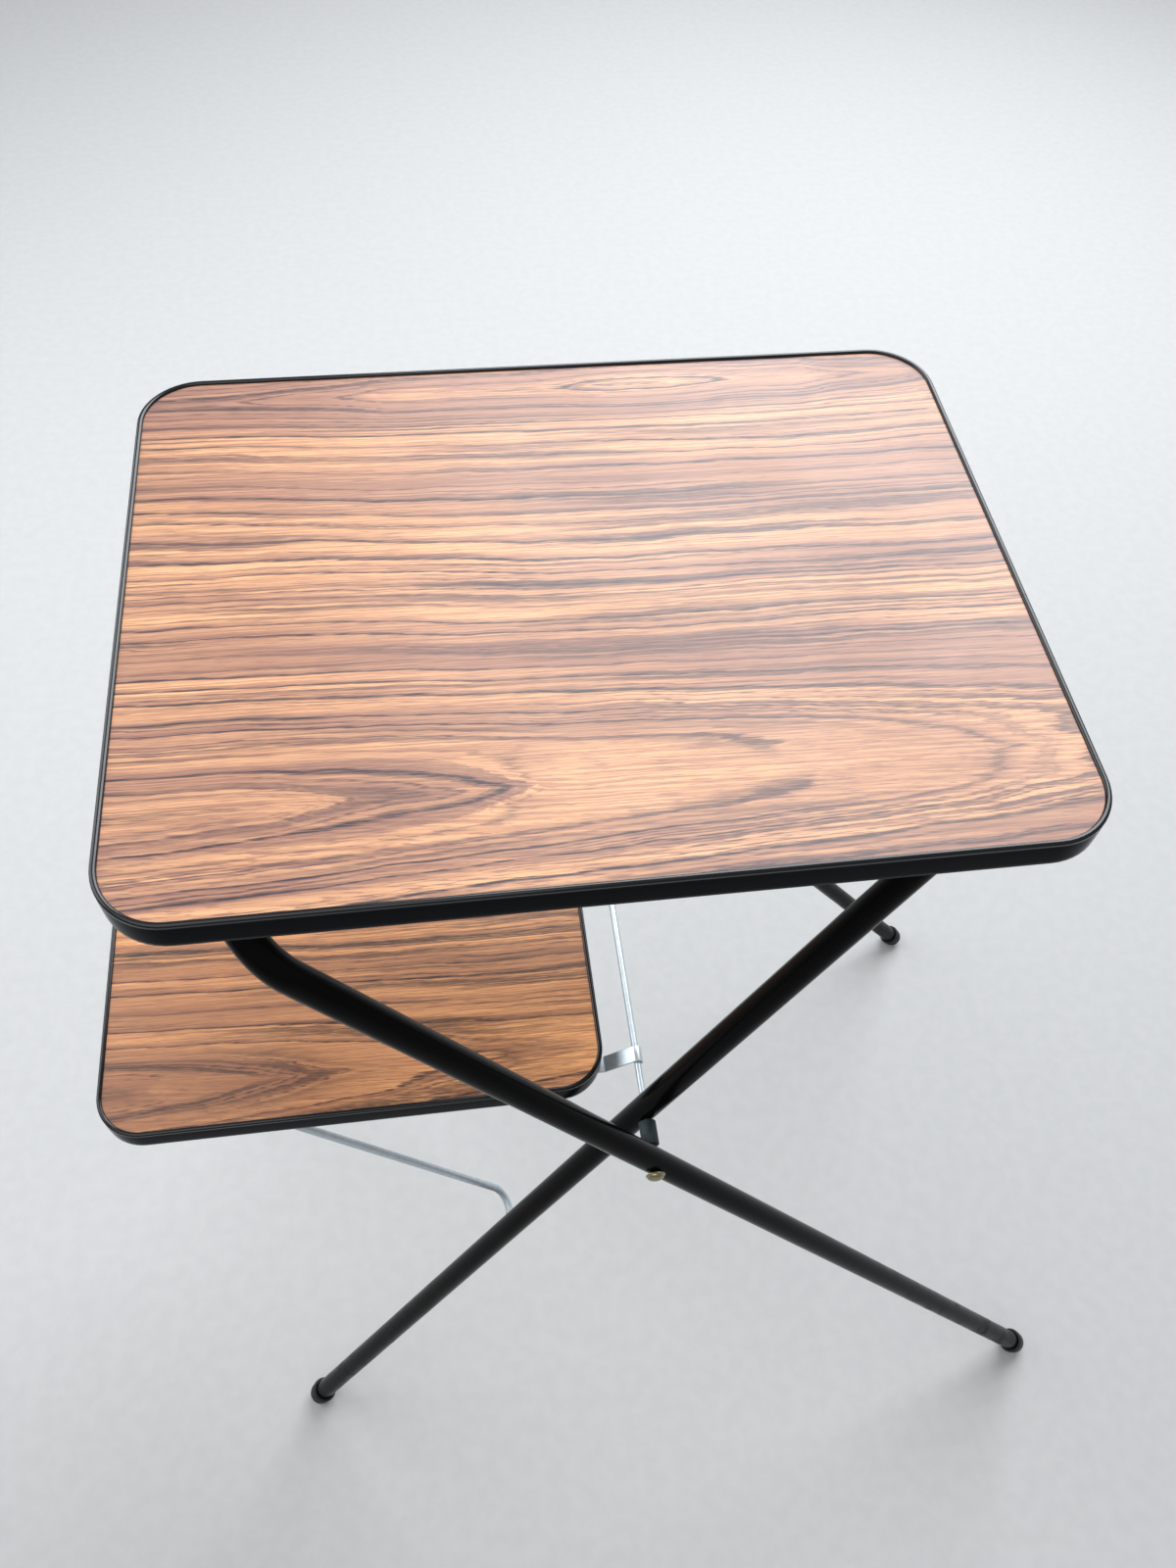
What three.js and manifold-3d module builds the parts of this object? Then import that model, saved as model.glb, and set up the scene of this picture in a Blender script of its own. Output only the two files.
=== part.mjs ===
// Folding two-tier table on a crossed tubular frame.
// Millimetres, +Z up, long side of the top along X. The origin is the middle of the footprint, on the floor.
import * as THREE from 'three';
import { mergeVertices } from 'three/addons/utils/BufferGeometryUtils.js';
import Module from 'manifold-3d';

const wasm = await Module();
wasm.setup();

// ---------------------------------------------------------------- driving dimensions
const TOP_LENGTH = 500;
const TOP_DEPTH = 388;
const TOP_SURFACE = 998.5; // height of the laminate's face above the floor
const TOP_CORNER = 37;

const SHELF_LENGTH = 357;
const SHELF_DEPTH = 310;
const SHELF_CORNER = 33;
const SHELF_GAP = 24.5; // from the rod's axis to the shelf's nearest end
const SHELF_RISE = 8; // from the rod's axis up to the shelf's laminate face

const BOARD_THICKNESS = 16;
const LAMINATE_THICKNESS = 1;
const EDGING_WIDTH = 3.4;
const BEAD_RISE = 1.5; // the edging's bead above the laminate
const SKIRT_DROP = 0.3; // the edging below the board
const TONGUE_REACH = 7;
const TONGUE_THICKNESS = 2;

const TUBE_RADIUS = 9.5;
const TUBE_WALL = 1.2;
const BEND_RADIUS = 58;
const SPLAY = 0.062; // sideways lean of a leg for each unit of its length

const CROSS_TUBE_X = 200; // both cross tubes lie this far from the middle of the top
const CROSS_TUBE_DROP = 11; // from the board's underside to a cross tube's axis
const PIVOT_X = 38; // rod's axis from the middle of the top
const PIVOT_HEIGHT = 640;
const OUTER_HALF_WIDTH = 209; // leg axis from the middle plane, at the rod
const INNER_HALF_WIDTH = 171;

const ROD_RADIUS = 2.5;
const RUNNING_GAP = 0.3;
const CAP_RADIUS = 6.9;
const CAP_HEIGHT = 4.4;
const SPACER_RADIUS = 6.2;

const FOOT_RADIUS = 11.5;
const FOOT_LENGTH = 17;
const FOOT_FLOOR = 4.5; // rubber below the tube's end
const FOOT_ROUND = 3.5;
const FOOT_FLAT = 1; // worn off the lowest edge, so that the foot stands

const BAIL_WIRE_RADIUS = 3;
const BAIL_HOLE_DROP = 225; // along the inner leg, from the rod to the bail's hole
const BAIL_REST = 251; // along the shelf, from the rod to the bail's cross part
const BAIL_BEND = 9;
const BAIL_PIN_BEND = 18; // where an arm turns out into its leg

const STRAP_WIDTH = 12;
const STRAP_THICKNESS = 1.4;
const SADDLE_WIDTH = 18;
const SADDLE_THICKNESS = 1.2;

const SCREW_HEAD_RADIUS = 3.4;
const SCREW_HEAD_HEIGHT = 1.9;
const SCREW_SHANK_RADIUS = 1.6;
const SCREW_LENGTH = 11;

const NEAR = -1;
const FAR = 1;

// ---------------------------------------------------------------- worked out from them
const BOARD_UNDER = -(LAMINATE_THICKNESS + RUNNING_GAP + BOARD_THICKNESS); // from a laminate's face
const TOP_UNDERSIDE = TOP_SURFACE + BOARD_UNDER;
const CROSS_TUBE_HEIGHT = TOP_UNDERSIDE - CROSS_TUBE_DROP;
const CROSS_RISE = CROSS_TUBE_HEIGHT - PIVOT_HEIGHT;
const OUTER_RUN = CROSS_TUBE_X + PIVOT_X;
const INNER_RUN = CROSS_TUBE_X - PIVOT_X;
const OUTER_LEAN = Math.atan2(OUTER_RUN, CROSS_RISE); // from vertical
const INNER_LEAN = Math.atan2(INNER_RUN, CROSS_RISE);
const SHELF_UNDERSIDE = SHELF_RISE + BOARD_UNDER; // from the rod's axis

// ---------------------------------------------------------------- materials
const finish = (color, roughness, metalness) => new THREE.MeshStandardMaterial({ color, roughness, metalness });
const enamel = () => finish(0x101114, 0.35, 0.2);
const rubber = () => finish(0x1d1f22, 0.8, 0);
const zinc = () => finish(0x9fa9ad, 0.4, 0.9);
const brass = () => finish(0x8f8a5e, 0.4, 0.9);
const chipboard = () => finish(0x8a6a48, 0.9, 0);
const laminate = () => finish(0xb5743e, 0.4, 0);
const edgingPlastic = () => finish(0x0c0d0f, 0.35, 0);
const sleevePlastic = () => finish(0x2c363c, 0.5, 0);

// ---------------------------------------------------------------- solids
function toManifold(geometry) {
  const plain = geometry.clone();
  plain.deleteAttribute('normal');
  plain.deleteAttribute('uv');
  const merged = mergeVertices(plain, 1e-4);
  const vertProperties = new Float32Array(merged.attributes.position.array);
  const triVerts = new Uint32Array(merged.index.array);
  return new wasm.Manifold(new wasm.Mesh({ numProp: 3, vertProperties, triVerts }));
}

function toGeometry(solid) {
  const mesh = solid.getMesh();
  const geometry = new THREE.BufferGeometry();
  geometry.setAttribute('position', new THREE.BufferAttribute(new Float32Array(mesh.vertProperties), 3));
  geometry.setIndex(new THREE.BufferAttribute(new Uint32Array(mesh.triVerts), 1));
  return geometry;
}

function cut(geometry, cutters) {
  let solid = toManifold(geometry);
  for (const cutter of cutters) {
    solid = solid.subtract(toManifold(cutter));
  }
  return toGeometry(solid);
}

function piece(name, geometry, material, group) {
  const mesh = new THREE.Mesh(geometry, material);
  mesh.name = name;
  group.add(mesh);
  return mesh;
}

// A rod along Y, centred on (x, z) and reaching from y0 to y1.
function rodAlongY(radius, y0, y1, x = 0, z = 0, sides = 16) {
  const geometry = new THREE.CylinderGeometry(radius, radius, Math.abs(y1 - y0), sides);
  return geometry.translate(x, (y0 + y1) / 2, z);
}

// A straight hole cutter along Z.
function drillAlongZ(radius, x, y, z0, z1) {
  const geometry = new THREE.CylinderGeometry(radius, radius, z1 - z0, 10);
  return geometry.rotateX(Math.PI / 2).translate(x, y, (z0 + z1) / 2);
}

// ---------------------------------------------------------------- bent tubes, wires and straps
// A flat path through given stations, so that straight stretches take one step and bends take several.
class StationPath extends THREE.Curve {
  constructor(points, tangents, planeNormal) {
    super();
    this.points = points;
    this.tangents = tangents;
    this.planeNormal = planeNormal;
  }
  at(list, t) {
    return list[Math.round(t * (list.length - 1))];
  }
  getPoint(t, target = new THREE.Vector3()) {
    return target.copy(this.at(this.points, t));
  }
  getPointAt(t, target) {
    return this.getPoint(t, target);
  }
  getTangentAt(t, target = new THREE.Vector3()) {
    return target.copy(this.at(this.tangents, t));
  }
  computeFrenetFrames() {
    const tangents = this.tangents;
    const normals = tangents.map(() => this.planeNormal.clone());
    const binormals = tangents.map((tangent) => tangent.clone().cross(this.planeNormal));
    return { tangents, normals, binormals };
  }
}

// Corners are [point, bend radius]; the end points have no bend.
function bentPath(corners, stepsPerBend) {
  const points = [];
  const tangents = [];
  const last = corners.length - 1;
  const firstRun = corners[1][0].clone().sub(corners[0][0]);
  const planeNormal = firstRun.cross(corners[2][0].clone().sub(corners[1][0])).normalize();
  corners.forEach(([corner, radius], index) => {
    if (index === 0 || index === last) {
      const other = corners[index === 0 ? 1 : last - 1][0];
      const along = index === 0 ? other.clone().sub(corner) : corner.clone().sub(other);
      points.push(corner.clone());
      tangents.push(along.normalize());
      return;
    }
    const into = corner.clone().sub(corners[index - 1][0]).normalize();
    const out = corners[index + 1][0].clone().sub(corner).normalize();
    const turn = into.angleTo(out);
    const setback = radius * Math.tan(turn / 2);
    const start = corner.clone().addScaledVector(into, -setback);
    const side = out.clone().addScaledVector(into, -out.dot(into)).normalize();
    for (let step = 0; step <= stepsPerBend; step += 1) {
      const angle = (turn * step) / stepsPerBend;
      const point = start.clone().addScaledVector(into, radius * Math.sin(angle));
      points.push(point.addScaledVector(side, radius * (1 - Math.cos(angle))));
      const tangent = into.clone().multiplyScalar(Math.cos(angle));
      tangents.push(tangent.addScaledVector(side, Math.sin(angle)).normalize());
    }
  });
  return new StationPath(points, tangents, planeNormal);
}

function sweep(section, path, curveSegments) {
  return new THREE.ExtrudeGeometry(section, {
    steps: path.points.length - 1,
    extrudePath: path,
    curveSegments,
    bevelEnabled: false,
  });
}

function roundSection(radius, boreRadius = 0) {
  const section = new THREE.Shape().absarc(0, 0, radius, 0, 2 * Math.PI);
  if (boreRadius > 0) {
    section.holes.push(new THREE.Path().absarc(0, 0, boreRadius, 0, 2 * Math.PI));
  }
  return section;
}

// The strip's width lies along Y when its path lies in the XZ plane.
function stripSection(width, thickness) {
  const section = new THREE.Shape();
  section.moveTo(-width / 2, -thickness / 2);
  section.lineTo(width / 2, -thickness / 2);
  section.lineTo(width / 2, thickness / 2);
  section.lineTo(-width / 2, thickness / 2);
  section.closePath();
  return section;
}

function bentStrip(profile, width, thickness, stepsPerBend) {
  const corners = profile.map(([x, z, radius]) => [new THREE.Vector3(x, 0, z), radius]);
  return sweep(stripSection(width, thickness), bentPath(corners, stepsPerBend));
}

// ---------------------------------------------------------------- boards
function roundedRectangle(target, length, depth, corner) {
  const x = length / 2;
  const y = depth / 2;
  target.moveTo(-x + corner, -y);
  target.lineTo(x - corner, -y);
  target.absarc(x - corner, -y + corner, corner, -Math.PI / 2, 0);
  target.lineTo(x, y - corner);
  target.absarc(x - corner, y - corner, corner, 0, Math.PI / 2);
  target.lineTo(-x + corner, y);
  target.absarc(-x + corner, y - corner, corner, Math.PI / 2, Math.PI);
  target.lineTo(-x, -y + corner);
  target.absarc(-x + corner, -y + corner, corner, Math.PI, 1.5 * Math.PI);
  return target;
}

function slab(length, depth, corner, thickness, holeInset = 0) {
  const outline = roundedRectangle(new THREE.Shape(), length, depth, corner);
  if (holeInset > 0) {
    const inside = new THREE.Path();
    roundedRectangle(inside, length - 2 * holeInset, depth - 2 * holeInset, corner - holeInset);
    outline.holes.push(inside);
  }
  return new THREE.ExtrudeGeometry(outline, { depth: thickness, curveSegments: 6, bevelEnabled: false });
}

// The edging: a band round the board with a barbed tongue that sits in the board's groove.
function edgingRing(length, depth, corner) {
  const low = BOARD_UNDER - SKIRT_DROP;
  const bevel = 0.8;
  const outline = roundedRectangle(new THREE.Shape(), length - 2 * bevel, depth - 2 * bevel, corner - bevel);
  const inset = EDGING_WIDTH;
  const hole = new THREE.Path();
  roundedRectangle(hole, length - 2 * (inset - bevel), depth - 2 * (inset - bevel), corner - inset + bevel);
  outline.holes.push(hole);
  const band = new THREE.ExtrudeGeometry(outline, {
    depth: BEAD_RISE - low - 2 * bevel,
    curveSegments: 6,
    bevelThickness: bevel,
    bevelSize: bevel,
    bevelSegments: 2,
  });
  band.translate(0, 0, low + bevel);
  const start = 1;
  const tongue = slab(length - 2 * start, depth - 2 * start, corner - start, TONGUE_THICKNESS, inset + TONGUE_REACH - start);
  tongue.translate(0, 0, BOARD_UNDER + (BOARD_THICKNESS - TONGUE_THICKNESS) / 2);
  return toGeometry(toManifold(band).add(toManifold(tongue)));
}

function grooveCutter(length, depth, corner) {
  const thickness = TONGUE_THICKNESS + 2 * RUNNING_GAP;
  const reach = EDGING_WIDTH + TONGUE_REACH + RUNNING_GAP;
  const groove = slab(length, depth, corner, thickness, reach);
  return groove.translate(0, 0, BOARD_UNDER + (BOARD_THICKNESS - thickness) / 2);
}

function boardSet(prefix, length, depth, corner, drills, group) {
  const inset = EDGING_WIDTH + RUNNING_GAP;
  const innerLength = length - 2 * inset;
  const innerDepth = depth - 2 * inset;
  const innerCorner = corner - inset;
  const core = slab(innerLength, innerDepth, innerCorner, BOARD_THICKNESS);
  core.translate(0, 0, BOARD_UNDER);
  const holes = drills.map(([x, y]) => screwHole(x, y, BOARD_UNDER));
  const cutCore = cut(core, [grooveCutter(length, depth, corner), ...holes]);
  const sheet = slab(innerLength, innerDepth, innerCorner, LAMINATE_THICKNESS);
  sheet.translate(0, 0, -LAMINATE_THICKNESS);
  piece(`${prefix}_board`, cutCore, chipboard(), group);
  piece(`${prefix}_laminate`, sheet, laminate(), group);
  piece(`${prefix}_edging`, edgingRing(length, depth, corner), edgingPlastic(), group);
}

// ---------------------------------------------------------------- screws
// A pan-head screw driven upwards, with its head's flat at z = 0.
function screwGeometry() {
  const profile = [
    [0, -SCREW_HEAD_HEIGHT],
    [SCREW_HEAD_RADIUS * 0.6, -SCREW_HEAD_HEIGHT * 0.85],
    [SCREW_HEAD_RADIUS, -SCREW_HEAD_HEIGHT * 0.25],
    [SCREW_HEAD_RADIUS, 0],
    [SCREW_SHANK_RADIUS, 0],
    [SCREW_SHANK_RADIUS, SCREW_LENGTH - 3],
    [0, SCREW_LENGTH],
  ].map(([r, z]) => new THREE.Vector2(r, z));
  return new THREE.LatheGeometry(profile, 10).rotateX(Math.PI / 2);
}

function screwHole(x, y, face) {
  const radius = SCREW_SHANK_RADIUS + RUNNING_GAP;
  return drillAlongZ(radius, x, y, face - 1, face + SCREW_LENGTH + RUNNING_GAP);
}

function stripHole(x, y, z) {
  return drillAlongZ(SCREW_SHANK_RADIUS + RUNNING_GAP, x, y, z - 3, z + 3);
}

function driveScrew(name, x, y, stripUnderside, group) {
  const screw = piece(name, screwGeometry(), zinc(), group);
  screw.position.set(x, y, stripUnderside - RUNNING_GAP);
}

// ---------------------------------------------------------------- frames
// In a frame's own group +Z runs up the legs and the rod's axis is the Y axis.
function frameTube(halfWidth, crossRise, footReach, holes) {
  const leg = (z) => halfWidth - SPLAY * z;
  const corners = [
    [new THREE.Vector3(0, -leg(-footReach), -footReach), 0],
    [new THREE.Vector3(0, -leg(crossRise), crossRise), BEND_RADIUS],
    [new THREE.Vector3(0, leg(crossRise), crossRise), BEND_RADIUS],
    [new THREE.Vector3(0, leg(-footReach), -footReach), 0],
  ];
  const tube = sweep(roundSection(TUBE_RADIUS, TUBE_RADIUS - TUBE_WALL), bentPath(corners, 9), 9);
  return cut(tube, holes);
}

function footGeometry() {
  const bore = TUBE_RADIUS + RUNNING_GAP;
  const profile = [
    [0, 0],
    [FOOT_RADIUS - FOOT_ROUND, 0],
    [FOOT_RADIUS - FOOT_ROUND * 0.29, FOOT_ROUND * 0.29],
    [FOOT_RADIUS, FOOT_ROUND],
    [FOOT_RADIUS, FOOT_LENGTH - 4],
    [FOOT_RADIUS + 0.9, FOOT_LENGTH - 3],
    [FOOT_RADIUS + 0.9, FOOT_LENGTH - 0.8],
    [FOOT_RADIUS, FOOT_LENGTH],
    [bore, FOOT_LENGTH],
    [bore, FOOT_FLOOR],
    [0, FOOT_FLOOR],
  ].map(([r, z]) => new THREE.Vector2(r, z));
  return new THREE.LatheGeometry(profile, 16).rotateX(Math.PI / 2);
}

// Height of the foot's end face above the floor, along a leg that leans by the given angle.
function footEndHeight(lean) {
  const rise = Math.cos(lean);
  const run = Math.sin(lean);
  return FOOT_ROUND + (FOOT_RADIUS - FOOT_ROUND) * run - FOOT_ROUND * rise - FOOT_FLAT;
}

function buildFrame(prefix, halfWidth, run, lean, direction, holes, group) {
  const crossRise = Math.hypot(run, CROSS_RISE);
  const endReach = (PIVOT_HEIGHT - footEndHeight(lean)) / Math.cos(lean);
  const tubeReach = endReach - FOOT_FLOOR - RUNNING_GAP;
  const tilted = new THREE.Group();
  tilted.rotation.y = direction * lean;
  tilted.position.set(PIVOT_X, 0, PIVOT_HEIGHT);
  group.add(tilted);
  piece(`${prefix}_frame_tube`, frameTube(halfWidth, crossRise, tubeReach, holes), enamel(), tilted);

  const floorSlab = new THREE.BoxGeometry(3 * TOP_LENGTH, 3 * TOP_DEPTH, 100).translate(0, 0, -50);
  for (const side of [NEAR, FAR]) {
    const foot = footGeometry();
    foot.rotateX(side * Math.atan(SPLAY));
    foot.translate(0, side * (halfWidth + SPLAY * endReach), -endReach);
    foot.rotateY(direction * lean);
    foot.translate(PIVOT_X, 0, PIVOT_HEIGHT);
    const label = side === NEAR ? 'near' : 'far';
    piece(`${prefix}_foot_${label}`, cut(foot, [floorSlab]), rubber(), group);
  }
}

function rodPieces(group) {
  const legFace = OUTER_HALF_WIDTH + TUBE_RADIUS * Math.hypot(1, SPLAY);
  const capSeat = legFace + CAP_RADIUS * SPLAY + RUNNING_GAP;
  const rodEnd = capSeat + CAP_HEIGHT - 1.6;
  const rod = rodAlongY(ROD_RADIUS, -rodEnd, rodEnd, PIVOT_X, PIVOT_HEIGHT, 14);
  piece('pivot_rod', rod, zinc(), group);

  const sleeveGap = TUBE_RADIUS * Math.hypot(1, SPLAY) + SPACER_RADIUS * SPLAY + RUNNING_GAP;
  const sleeveFrom = INNER_HALF_WIDTH + sleeveGap;
  const sleeveTo = OUTER_HALF_WIDTH - sleeveGap;
  for (const side of [NEAR, FAR]) {
    const label = side === NEAR ? 'near' : 'far';
    const sleeve = rodAlongY(SPACER_RADIUS, side * sleeveFrom, side * sleeveTo, PIVOT_X, PIVOT_HEIGHT);
    const bore = rodAlongY(ROD_RADIUS + RUNNING_GAP, side * 100, side * 260, PIVOT_X, PIVOT_HEIGHT, 14);
    piece(`spacer_sleeve_${label}`, cut(sleeve, [bore]), sleevePlastic(), group);

    const bored = ROD_RADIUS + RUNNING_GAP;
    const profile = [
      [bored, 0],
      [CAP_RADIUS, 0],
      [CAP_RADIUS, CAP_HEIGHT * 0.35],
      [CAP_RADIUS * 0.8, CAP_HEIGHT * 0.75],
      [CAP_RADIUS * 0.45, CAP_HEIGHT * 0.95],
      [0, CAP_HEIGHT],
      [0, CAP_HEIGHT - 1.3],
      [bored, CAP_HEIGHT - 1.3],
      [bored, 0],
    ].map(([r, y]) => new THREE.Vector2(r, y));
    const cap = new THREE.LatheGeometry(profile, 16);
    if (side === NEAR) {
      cap.rotateX(Math.PI);
    }
    cap.translate(PIVOT_X, side * capSeat, PIVOT_HEIGHT);
    piece(`rod_cap_${label}`, cap, brass(), group);
  }
}

// ---------------------------------------------------------------- what holds the top
const TOP_SADDLE_Y = 96;
const TOP_FLANGE_X = 24;
const STOP_BRACKET_Y = 62;
const STOP_BRACKET_FACE = TUBE_RADIUS + 1.4; // from the cross tube's axis to the bracket's strip
const STOP_BRACKET_REACH = 27;
const STOP_SCREW_X = 19;

function topSaddle() {
  const stripZ = CROSS_TUBE_DROP - RUNNING_GAP - SADDLE_THICKNESS / 2; // above the cross tube's axis
  const wrap = TUBE_RADIUS + 0.5 + SADDLE_THICKNESS / 2;
  const profile = [
    [-TOP_FLANGE_X - 6, stripZ, 0],
    [-wrap, stripZ, 1.8],
    [-wrap, -wrap, wrap - 0.01],
    [wrap, -wrap, wrap - 0.01],
    [wrap, stripZ, 1.8],
    [TOP_FLANGE_X + 6, stripZ, 0],
  ];
  const strip = bentStrip(profile, SADDLE_WIDTH, SADDLE_THICKNESS, 6);
  return cut(strip, [stripHole(-TOP_FLANGE_X + 2, 0, stripZ), stripHole(TOP_FLANGE_X - 2, 0, stripZ)]);
}

function stopBracket() {
  const stripZ = CROSS_TUBE_DROP - RUNNING_GAP - SADDLE_THICKNESS / 2;
  const profile = [
    [STOP_BRACKET_FACE + STOP_BRACKET_REACH, stripZ, 0],
    [STOP_BRACKET_FACE, stripZ, 1.8],
    [STOP_BRACKET_FACE, -4, 3],
    [STOP_BRACKET_FACE + 3.5, -10, 0],
  ];
  const strip = bentStrip(profile, SADDLE_WIDTH, SADDLE_THICKNESS, 4);
  return cut(strip, [stripHole(STOP_BRACKET_FACE + STOP_SCREW_X, 0, stripZ)]);
}

function buildTop(group) {
  const drills = [];
  const screwZ = TOP_UNDERSIDE - RUNNING_GAP - SADDLE_THICKNESS;
  for (const side of [NEAR, FAR]) {
    const label = side === NEAR ? 'near' : 'far';
    const saddle = piece(`top_saddle_${label}`, topSaddle(), zinc(), group);
    saddle.position.set(-CROSS_TUBE_X, side * TOP_SADDLE_Y, CROSS_TUBE_HEIGHT);
    for (const [end, word] of [[-1, 'outer'], [1, 'inner']]) {
      const x = -CROSS_TUBE_X + end * (TOP_FLANGE_X - 2);
      driveScrew(`top_saddle_screw_${label}_${word}`, x, side * TOP_SADDLE_Y, screwZ, group);
      drills.push([x, side * TOP_SADDLE_Y]);
    }
    const bracket = piece(`stop_bracket_${label}`, stopBracket(), zinc(), group);
    bracket.position.set(CROSS_TUBE_X, side * STOP_BRACKET_Y, CROSS_TUBE_HEIGHT);
    const x = CROSS_TUBE_X + STOP_BRACKET_FACE + STOP_SCREW_X;
    driveScrew(`stop_bracket_screw_${label}`, x, side * STOP_BRACKET_Y, screwZ, group);
    drills.push([x, side * STOP_BRACKET_Y]);
  }
  const boards = new THREE.Group();
  boards.position.set(0, 0, TOP_SURFACE);
  group.add(boards);
  boardSet('top', TOP_LENGTH, TOP_DEPTH, TOP_CORNER, drills, boards);
}

// ---------------------------------------------------------------- the shelf and its bail
const HOOK_Y = 131;
const BAIL_SADDLE_Y = 92;
const BAIL_FLANGE_X = 9;
const BAIL_WIRE_DROP = BAIL_WIRE_RADIUS + 0.6; // from the shelf's underside to the wire's axis
const HOOK_SCREWS_X = [-42, -54]; // from the rod's axis
const STRIP_CLEARANCE = SKIRT_DROP + RUNNING_GAP; // the hooks pass under the edging

function shelfHook() {
  const stripZ = SHELF_UNDERSIDE - STRIP_CLEARANCE - STRAP_THICKNESS / 2;
  const wrap = ROD_RADIUS + 0.4 + STRAP_THICKNESS / 2;
  const profile = [
    [-61, stripZ, 0],
    [-SHELF_GAP + 1.5, stripZ, 4],
    [-wrap / 3, wrap, wrap - 0.1],
    [wrap, wrap, wrap - 0.01],
    [wrap, -wrap, wrap - 0.01],
    [-wrap + 1.6, -wrap, 0],
  ];
  const strip = bentStrip(profile, STRAP_WIDTH, STRAP_THICKNESS, 5);
  return cut(strip, HOOK_SCREWS_X.map((x) => stripHole(x, 0, stripZ)));
}

function bailSaddle() {
  const thickness = 1;
  const stripZ = BAIL_WIRE_DROP - RUNNING_GAP - thickness / 2; // above the wire's axis
  const wrap = BAIL_WIRE_RADIUS + 0.4 + thickness / 2;
  const profile = [
    [-BAIL_FLANGE_X - 5, stripZ, 0],
    [-wrap, stripZ, 0.8],
    [-wrap, -wrap, wrap - 0.01],
    [wrap, -wrap, wrap - 0.01],
    [wrap, stripZ, 0.8],
    [BAIL_FLANGE_X + 5, stripZ, 0],
  ];
  const strip = bentStrip(profile, STRAP_WIDTH, thickness, 5);
  return cut(strip, [stripHole(-BAIL_FLANGE_X, 0, stripZ), stripHole(BAIL_FLANGE_X, 0, stripZ)]);
}

function buildShelf(group) {
  const shelf = new THREE.Group();
  shelf.position.set(PIVOT_X, 0, PIVOT_HEIGHT);
  group.add(shelf);
  const centreX = -SHELF_GAP - SHELF_LENGTH / 2;
  const drills = [];
  for (const side of [NEAR, FAR]) {
    const label = side === NEAR ? 'near' : 'far';
    const hook = piece(`shelf_hook_${label}`, shelfHook(), zinc(), shelf);
    hook.position.y = side * HOOK_Y;
    HOOK_SCREWS_X.forEach((x, index) => {
      const screwZ = SHELF_UNDERSIDE - STRIP_CLEARANCE - STRAP_THICKNESS;
      driveScrew(`shelf_hook_screw_${label}_${index + 1}`, x, side * HOOK_Y, screwZ, shelf);
      drills.push([x - centreX, side * HOOK_Y]);
    });
    const saddle = piece(`bail_saddle_${label}`, bailSaddle(), zinc(), shelf);
    saddle.position.set(-BAIL_REST, side * BAIL_SADDLE_Y, SHELF_UNDERSIDE - BAIL_WIRE_DROP);
    [-1, 1].forEach((end, index) => {
      const x = -BAIL_REST + end * BAIL_FLANGE_X;
      const screwZ = SHELF_UNDERSIDE - RUNNING_GAP - 1;
      driveScrew(`bail_saddle_screw_${label}_${index + 1}`, x, side * BAIL_SADDLE_Y, screwZ, shelf);
      drills.push([x - centreX, side * BAIL_SADDLE_Y]);
    });
  }
  const boards = new THREE.Group();
  boards.position.set(centreX, 0, SHELF_RISE);
  shelf.add(boards);
  boardSet('shelf', SHELF_LENGTH, SHELF_DEPTH, SHELF_CORNER, drills, boards);
}

function bailHolePoint() {
  const x = PIVOT_X - BAIL_HOLE_DROP * Math.sin(INNER_LEAN);
  const z = PIVOT_HEIGHT - BAIL_HOLE_DROP * Math.cos(INNER_LEAN);
  return [x, z];
}

function buildBail(group) {
  const [holeX, holeZ] = bailHolePoint();
  const restX = PIVOT_X - BAIL_REST;
  const restZ = PIVOT_HEIGHT + SHELF_UNDERSIDE - BAIL_WIRE_DROP;
  const legInner = INNER_HALF_WIDTH + SPLAY * BAIL_HOLE_DROP - TUBE_RADIUS * Math.hypot(1, SPLAY);
  const end = legInner - 0.6;
  const armAtHole = legInner - 18.8;
  const armAtRest = SHELF_DEPTH / 2 - 6;
  const corner = (x, y, z, radius) => [new THREE.Vector3(x, y, z), radius];
  const corners = [
    corner(holeX, -end, holeZ, 0),
    corner(holeX, -armAtHole, holeZ, BAIL_PIN_BEND),
    corner(restX, -armAtRest, restZ, BAIL_BEND),
    corner(restX, armAtRest, restZ, BAIL_BEND),
    corner(holeX, armAtHole, holeZ, BAIL_PIN_BEND),
    corner(holeX, end, holeZ, 0),
  ];
  piece('bail_wire', sweep(roundSection(BAIL_WIRE_RADIUS), bentPath(corners, 6), 5), zinc(), group);
}

// ---------------------------------------------------------------- assembly
const table = new THREE.Group();
const body = new THREE.Group();
table.add(body);

const rodHole = () => rodAlongY(ROD_RADIUS + RUNNING_GAP, -260, 260, 0, 0, 14);
const bailHoles = [NEAR, FAR].map((side) => {
  const inside = side * (INNER_HALF_WIDTH + SPLAY * BAIL_HOLE_DROP - 2 * TUBE_RADIUS);
  const middle = side * (INNER_HALF_WIDTH + SPLAY * BAIL_HOLE_DROP);
  return rodAlongY(BAIL_WIRE_RADIUS + RUNNING_GAP, inside, middle, 0, -BAIL_HOLE_DROP, 10);
});

buildFrame('outer', OUTER_HALF_WIDTH, OUTER_RUN, OUTER_LEAN, -1, [rodHole()], body);
buildFrame('inner', INNER_HALF_WIDTH, INNER_RUN, INNER_LEAN, 1, [rodHole(), ...bailHoles], body);
rodPieces(body);
buildTop(body);
buildShelf(body);
buildBail(body);

// The origin goes to the middle of the footprint, on the floor.
const bounds = new THREE.Box3().setFromObject(table, true);
body.position.x = -(bounds.min.x + bounds.max.x) / 2;

export default table;
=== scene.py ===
"""Looks of the folding two-tier table: fine surfaces over the CAD frame, materials, light and camera."""
import math

import bmesh
import bpy
from mathutils import Matrix, Vector


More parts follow.
